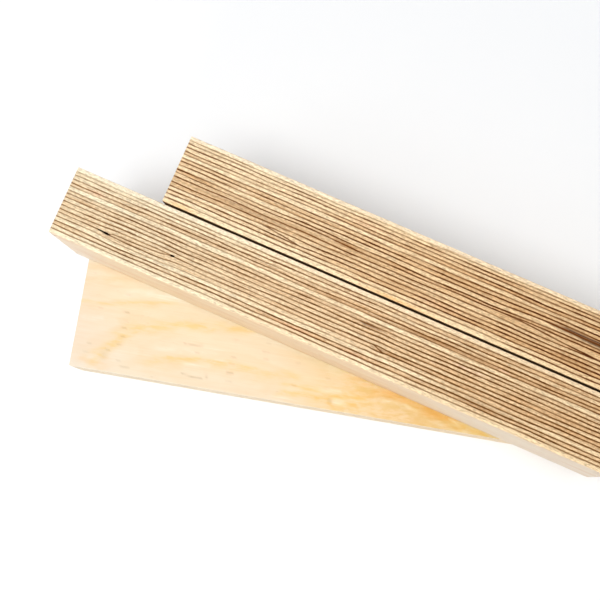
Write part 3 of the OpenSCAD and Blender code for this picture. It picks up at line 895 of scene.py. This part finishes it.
bottom = Beam(
    "bottom_lvl", "bottom_beam", "lvl_bottom", len_b / MM, (z1 - z0) / MM, wid_b / MM,
    [4.4, 3.7, 3.8, 3.4, 3.9, 3.6, 3.5, 4.0, 3.7, 3.3, 3.8, 3.6, 3.9, 3.4, 3.7, 3.2, 4.1], 303,
    tones=[0.1, 0.4, 0.3, 0.6, 0.2, 0.5, 0.7, 0.3, 0.5, 0.6, 0.2, 0.4, 0.6, 0.3, 0.5, 0.2, 0.0],
    ink=[0.7, 0.9, 0.8, 0.9, 0.7, 0.85, 0.9, 0.8, 0.7, 0.9, 0.8, 0.9, 0.75, 0.85, 0.8, 0.6],
    figure=oval_figure(303, 152.0, 115.0, 3.1, 14.5),
    strokes=[
        {"kind": "peach", "wide": 3.4, "strength": 0.34, "path": [(0, 46), (20, 43), (46, 39), (70, 34)]},
        {"kind": "peach", "wide": 3.6, "strength": 0.26, "path": [(0, 33), (25, 33), (45, 36)]},
        {"kind": "gold", "wide": 1.5, "strength": 0.34, "path": [(0, 67), (28, 66), (45, 61.5), (62, 58.5), (90, 54)]},
        {"kind": "peach", "wide": 3.4, "strength": 0.22, "path": [(8, 70), (30, 65), (50, 62), (70, 60)]},
        {"kind": "gold", "wide": 4.2, "strength": 0.44, "path": [(22, 122), (28, 114), (36, 104), (44, 95), (52, 88), (61, 84), (72, 80.5), (85, 77), (97, 74.5), (110, 73), (125, 71.5), (150, 68), (168, 67)]},
        {"kind": "gold", "wide": 2.0, "strength": 0.30, "path": [(60, 82), (82, 75.5), (100, 73.5), (118, 73)]},
        {"kind": "peach", "wide": 3.4, "strength": 0.22, "path": [(55, 90), (72, 87), (90, 83)]},
        {"kind": "gold", "wide": 1.7, "strength": 0.52, "path": [(92, 106.5), (105, 105.6), (120, 104), (140, 103), (160, 102.6), (175, 103)]},
        {"kind": "gold", "wide": 4.6, "strength": 0.30, "path": [(76, 113), (92, 108), (118, 105), (150, 104), (180, 106), (212, 105)]},
        {"kind": "peach", "wide": 3.8, "strength": 0.30, "path": [(14, 122), (24, 124), (34, 122)]},
        {"kind": "peach", "wide": 5.0, "strength": 0.16, "path": [(75, 118), (110, 114), (150, 108), (190, 116)]},
        {"kind": "gold", "wide": 2.4, "strength": 0.34, "path": [(205, 113), (220, 112.5), (236, 112.5)]},
        {"kind": "gold", "wide": 3.4, "strength": 0.40, "path": [(205, 121), (225, 120), (240, 119)]},
        {"kind": "gold", "wide": 2.6, "strength": 0.60, "path": [(238, 120.5), (250, 117), (262, 115), (275, 114), (285, 111), (293, 108), (302, 106.5), (313, 106.5), (326, 108.5), (340, 112), (352, 117), (364, 120), (380, 124), (398, 128)]},
        {"kind": "gold", "wide": 5.0, "strength": 0.34, "path": [(262, 113), (290, 105), (312, 104), (334, 110), (356, 116)]},
        {"kind": "peach", "wide": 5.5, "strength": 0.42, "path": [(268, 97), (290, 100), (318, 106), (344, 112), (366, 119)]},
        {"kind": "gold", "wide": 1.6, "strength": 0.55, "path": [(264, 126), (256, 127), (250, 124), (249, 120), (252, 117)]},
        {"kind": "white", "wide": 2.0, "strength": 0.14, "path": [(5, 82), (13, 81.5), (22, 80.5)]},
        {"kind": "white", "wide": 1.6, "strength": 0.16, "path": [(110, 110), (120, 109), (131, 107.5)]},
        {"kind": "white", "wide": 4.0, "strength": 0.16, "path": [(45, 52), (66, 49), (96, 50)]},
        {"kind": "white", "wide": 3.4, "strength": 0.14, "path": [(82, 100), (110, 98), (132, 95)]},
        {"kind": "white", "wide": 2.6, "strength": 0.45, "path": [(256, 122), (260, 122.5)]},
        {"kind": "white", "wide": 2.2, "strength": 0.18, "path": [(242, 113), (258, 111)]},
        {"kind": "gold", "wide": 1.5, "strength": 0.42, "path": [(214, 112.5), (228, 114), (240, 115), (249, 117.5)]},
        {"kind": "gold", "wide": 1.3, "strength": 0.70, "path": [(245.5, 119.8), (253, 118.5)]},
        {"kind": "gold", "wide": 1.8, "strength": 0.50, "path": [(259.5, 123), (273.5, 121)]},
        {"kind": "gold", "wide": 1.5, "strength": 0.48, "path": [(272.5, 116), (282, 114.5)]},
        {"kind": "gold", "wide": 1.6, "strength": 0.45, "path": [(282, 110.8), (291, 109), (300, 107.6)]},
        {"kind": "gold", "wide": 1.8, "strength": 0.45, "path": [(319, 110), (329, 112.4), (345, 119.8)]},
        {"kind": "gold", "wide": 2.2, "strength": 0.48, "path": [(341, 115.8), (359, 121.4), (374, 127)]},
        {"kind": "gold", "wide": 2.2, "strength": 0.42, "path": [(378, 122), (393, 127.6)]},
        {"kind": "white", "wide": 1.1, "strength": 0.42, "path": [(364, 119), (372, 122.2)]},
        {"kind": "white", "wide": 1.2, "strength": 0.34, "path": [(322, 114), (334, 117.5)]},
        {"kind": "white", "wide": 1.2, "strength": 0.30, "path": [(300, 112.5), (312, 112)]},
    ] + [
        {"kind": "tick", "wide": 0.70, "along": 1.0, "strength": k * 0.60, "path": [(u - a / 2, w), (u + a / 2, w - 0.1)]} for u, w, a, k in marks
    ] + [
        {"kind": "tick", "wide": 0.7, "along": 1.0, "strength": 0.46, "path": [(99, 90), (104, 90), (107, 91.5), (123, 90)]},
        {"kind": "tick", "wide": 0.7, "along": 1.0, "strength": 0.52, "path": [(108, 119.4), (114, 120.2), (121, 121.4), (127, 121)]},
        {"kind": "tick", "wide": 0.7, "along": 1.0, "strength": 0.40, "path": [(130, 114), (131.5, 120)]},
    ],
    spots=[
        {"on": "top_face", "kind": "knot", "u": 250.5, "lu": 2.4, "v": 121, "lv": 2.4, "strength": 0.30},
        {"on": "top_face", "kind": "resin", "u": 306, "lu": 16, "v": 107, "lv": 4.0, "strength": 0.42},
        {"on": "top_face", "kind": "resin", "u": 350, "lu": 18, "v": 117, "lv": 4.6, "strength": 0.40},
        {"on": "top_face", "kind": "brown", "u": 31, "lu": 4.0, "v": 115, "lv": 5.0, "strength": 0.30},
    ],
)
bottom.row_count = 78

looks = {
    "front_lvl": dict(
        wood=dict(
            pale=srgb(252, 237, 201), tan=srgb(210, 166, 114), brown=srgb(146, 96, 44), halo=srgb(152, 100, 38), glue=srgb(84, 46, 10),
            rims=(srgb(242, 221, 186), srgb(240, 222, 192)), first=(1.00, 1.025, 1.07), mid=(1.04, 0.985, 0.955), last=(0.935, 0.85, 0.77), swell=0.12,
        ),
        seed=1.3, face=(srgb(241, 221, 190), srgb(229, 194, 147), srgb(229, 192, 153)),
        # the front face tint turns cooler at the far end: a painted sheen, the white floor reflected at a grazing
        # angle
        tints=[(0.0, (0.975, 1.01, 1.12)), (0.12, (0.985, 0.955, 0.91)), (0.35, (0.97, 0.925, 0.865)), (0.60, (0.94, 0.87, 0.81)), (0.80, (0.875, 0.893, 0.95)), (0.92, (0.865, 0.90, 1.01))],
    ),
    "rear_lvl": dict(
        wood=dict(
            pale=srgb(251, 232, 193), tan=srgb(206, 160, 104), brown=srgb(134, 82, 26), halo=srgb(146, 84, 2), glue=srgb(70, 26, 0),
            rims=(srgb(242, 219, 180), srgb(238, 221, 194)), first=(1.04, 1.035, 1.045), mid=(1.035, 0.985, 0.935), last=(0.925, 0.835, 0.735), swell=0.19, knot=(srgb(106, 74, 57), srgb(54, 33, 25)),
        ),
        seed=4.7, face=(srgb(230, 208, 176), srgb(220, 182, 134), srgb(220, 182, 142)),
        tints=[(0.0, (0.98, 1.0, 1.02)), (0.5, (0.97, 0.95, 0.92)), (1.0, (0.95, 0.91, 0.86))],
    ),
    "bottom_lvl": dict(
        wood=dict(
            # painted sheen: the bottom beam's sawn edges and ends get far paler wood and glue than the upper beams',
            # standing in for the glare on its near edge at a grazing angle
            pale=srgb(250, 240, 220), tan=srgb(233, 208, 172), brown=srgb(192, 154, 110), halo=srgb(228, 204, 170), glue=srgb(164, 132, 96),
            rims=(srgb(248, 238, 220), srgb(248, 240, 226)), first=(1.00, 1.01, 1.02), mid=(1.00, 0.985, 0.96), last=(1.00, 0.96, 0.90), thin=0.10, flecks=(0.84, 1.12),
        ),
        seed=8.1, face=(srgb(232, 208, 176), srgb(226, 190, 142), srgb(228, 190, 144)),
        tints=[(0.0, (0.91, 0.96, 1.08)), (0.10, (0.91, 0.95, 1.01)), (0.35, (0.91, 0.925, 0.965)), (0.50, (0.88, 0.85, 0.70)), (0.62, (0.84, 0.765, 0.55)), (1.0, (0.81, 0.725, 0.46))],
    ),
}
shift = (lo_r.x - lo_f.x) / MM
for beam, place in ((front, place_upright(lo_f)), (rear, place_upright(lo_r)), (bottom, place_flat)):
    obj = beam.build(place)
    k = looks[beam.name]
    calm = 0.55 if beam is bottom else 1.0
    obj.data.materials.append(edge_material(beam.name + "_edge", k["seed"], beam.L, **k["wood"]))
    obj.data.materials.append(face_material(beam.name + "_face", k["seed"], beam.L, *k["face"], k["tints"], calm))
    obj.data.materials.append(edge_material(beam.name + "_end", k["seed"], beam.L, end=True, tone=0.85, **k["wood"]))
    # the face against the other upper beam gets a copy with painted shade where it is covered
    if beam.inner:
        obj.data.materials.append(face_material(beam.name + "_inner", k["seed"], beam.L, *k["face"], k["tints"], calm, inner=shift + 1.0 if beam is front else shift - beam.L - 1.0))
    # open joints get their material painted dark as shade
    if beam.holes:
        obj.data.materials.append(void_shade_material(beam.name + "_void_shade"))
    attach(obj, "root")
    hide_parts(beam.node)

# ---------------------------------------------------------------- floor, light, camera
floor_mesh = bpy.data.meshes.new("studio_floor")
S = 40.0
floor_mesh.from_pydata([(-S, -S, 0), (S, -S, 0), (S, S, 0), (-S, S, 0)], [], [(0, 1, 2, 3)])
floor = bpy.data.objects.new("studio_floor", floor_mesh)
bpy.context.scene.collection.objects.link(floor)
fm = Tree("studio_floor_white")
p = fm.node("ShaderNodeBsdfPrincipled")
p.inputs["Base Color"].default_value = (0.87, 0.88, 0.895, 1)
p.inputs["Roughness"].default_value = 0.75
p.inputs["Specular IOR Level"].default_value = 0.1
o = fm.node("ShaderNodeOutputMaterial")
fm.t.links.new(p.outputs[0], o.inputs[0])
floor.data.materials.append(fm.m)

# camera, from the front beam's rear left corner
cx, cy = lo_f.x, hi_f.y
cam_data = bpy.data.cameras.new("camera")
cam_data.sensor_width = 36.0
cam_data.sensor_fit = "HORIZONTAL"
cam_data.lens = 1546.35 / 600 * 36
cam_data.clip_start = 0.01
cam_data.clip_end = 60
cam = bpy.data.objects.new("camera", cam_data)
bpy.context.scene.collection.objects.link(cam)
rot = Matrix.Rotation(math.radians(23.5749), 4, "Z") @ Matrix.Rotation(math.radians(6.7343), 4, "X") @ Matrix.Rotation(math.radians(2.6543), 4, "Y")
cam.matrix_world = Matrix.Translation((cx + 0.34610, cy - 0.14863, 1.52001)) @ rot
bpy.context.scene.camera = cam

# image right and image up, on the floor
right = Vector((math.cos(math.radians(23.57)), math.sin(math.radians(23.57)), 0))
up = Vector((-right.y, right.x, 0))
centre = Vector((cx + 0.3, cy - 0.1, 0.1))


def area(name, at, size, power, colour, look=centre):
    d = bpy.data.lights.new(name, "AREA")
    d.shape = "SQUARE"
    d.size = size
    d.energy = power
    d.color = colour
    ob = bpy.data.objects.new(name, d)
    bpy.context.scene.collection.objects.link(ob)
    ob.location = at
    ob.rotation_euler = (look - at).to_track_quat("-Z", "Y").to_euler()
    return ob


def sky(name, frm, strength, angle, colour):
    d = bpy.data.lights.new(name, "SUN")
    d.energy = strength
    d.angle = math.radians(angle)
    d.color = colour
    ob = bpy.data.objects.new(name, d)
    bpy.context.scene.collection.objects.link(ob)
    ob.rotation_euler = (-frm).to_track_quat("-Z", "Y").to_euler()
    return ob


# a wide soft light overhead, a low soft one in front, and a box that brightens the left
sky("overhead", Vector((0, 0, 1)) - up * 0.09 - right * 0.07, 2.26, 32, (1.0, 0.995, 0.985))
sky("near_fill", Vector((0, 0, 0.60)) - up * 1.7 - right * 0.5, 0.75, 30, (1.0, 0.985, 0.965))
box = area("left_box", centre - right * 0.72 + up * 0.02 + Vector((0, 0, 1.0)), 0.6, 2.6, (1.0, 0.985, 0.965))
box.visible_camera = False

world = bpy.data.worlds.new("studio")
bpy.context.scene.world = world
world.use_nodes = True
wn = world.node_tree.nodes["Background"]
wn.inputs["Color"].default_value = (0.93, 0.96, 1.0, 1)
wn.inputs["Strength"].default_value = 0.31

scene = bpy.context.scene
scene.view_settings.view_transform = "Standard"
scene.view_settings.look = "None"
scene.view_settings.exposure = 0.0
scene.view_settings.gamma = 1.0
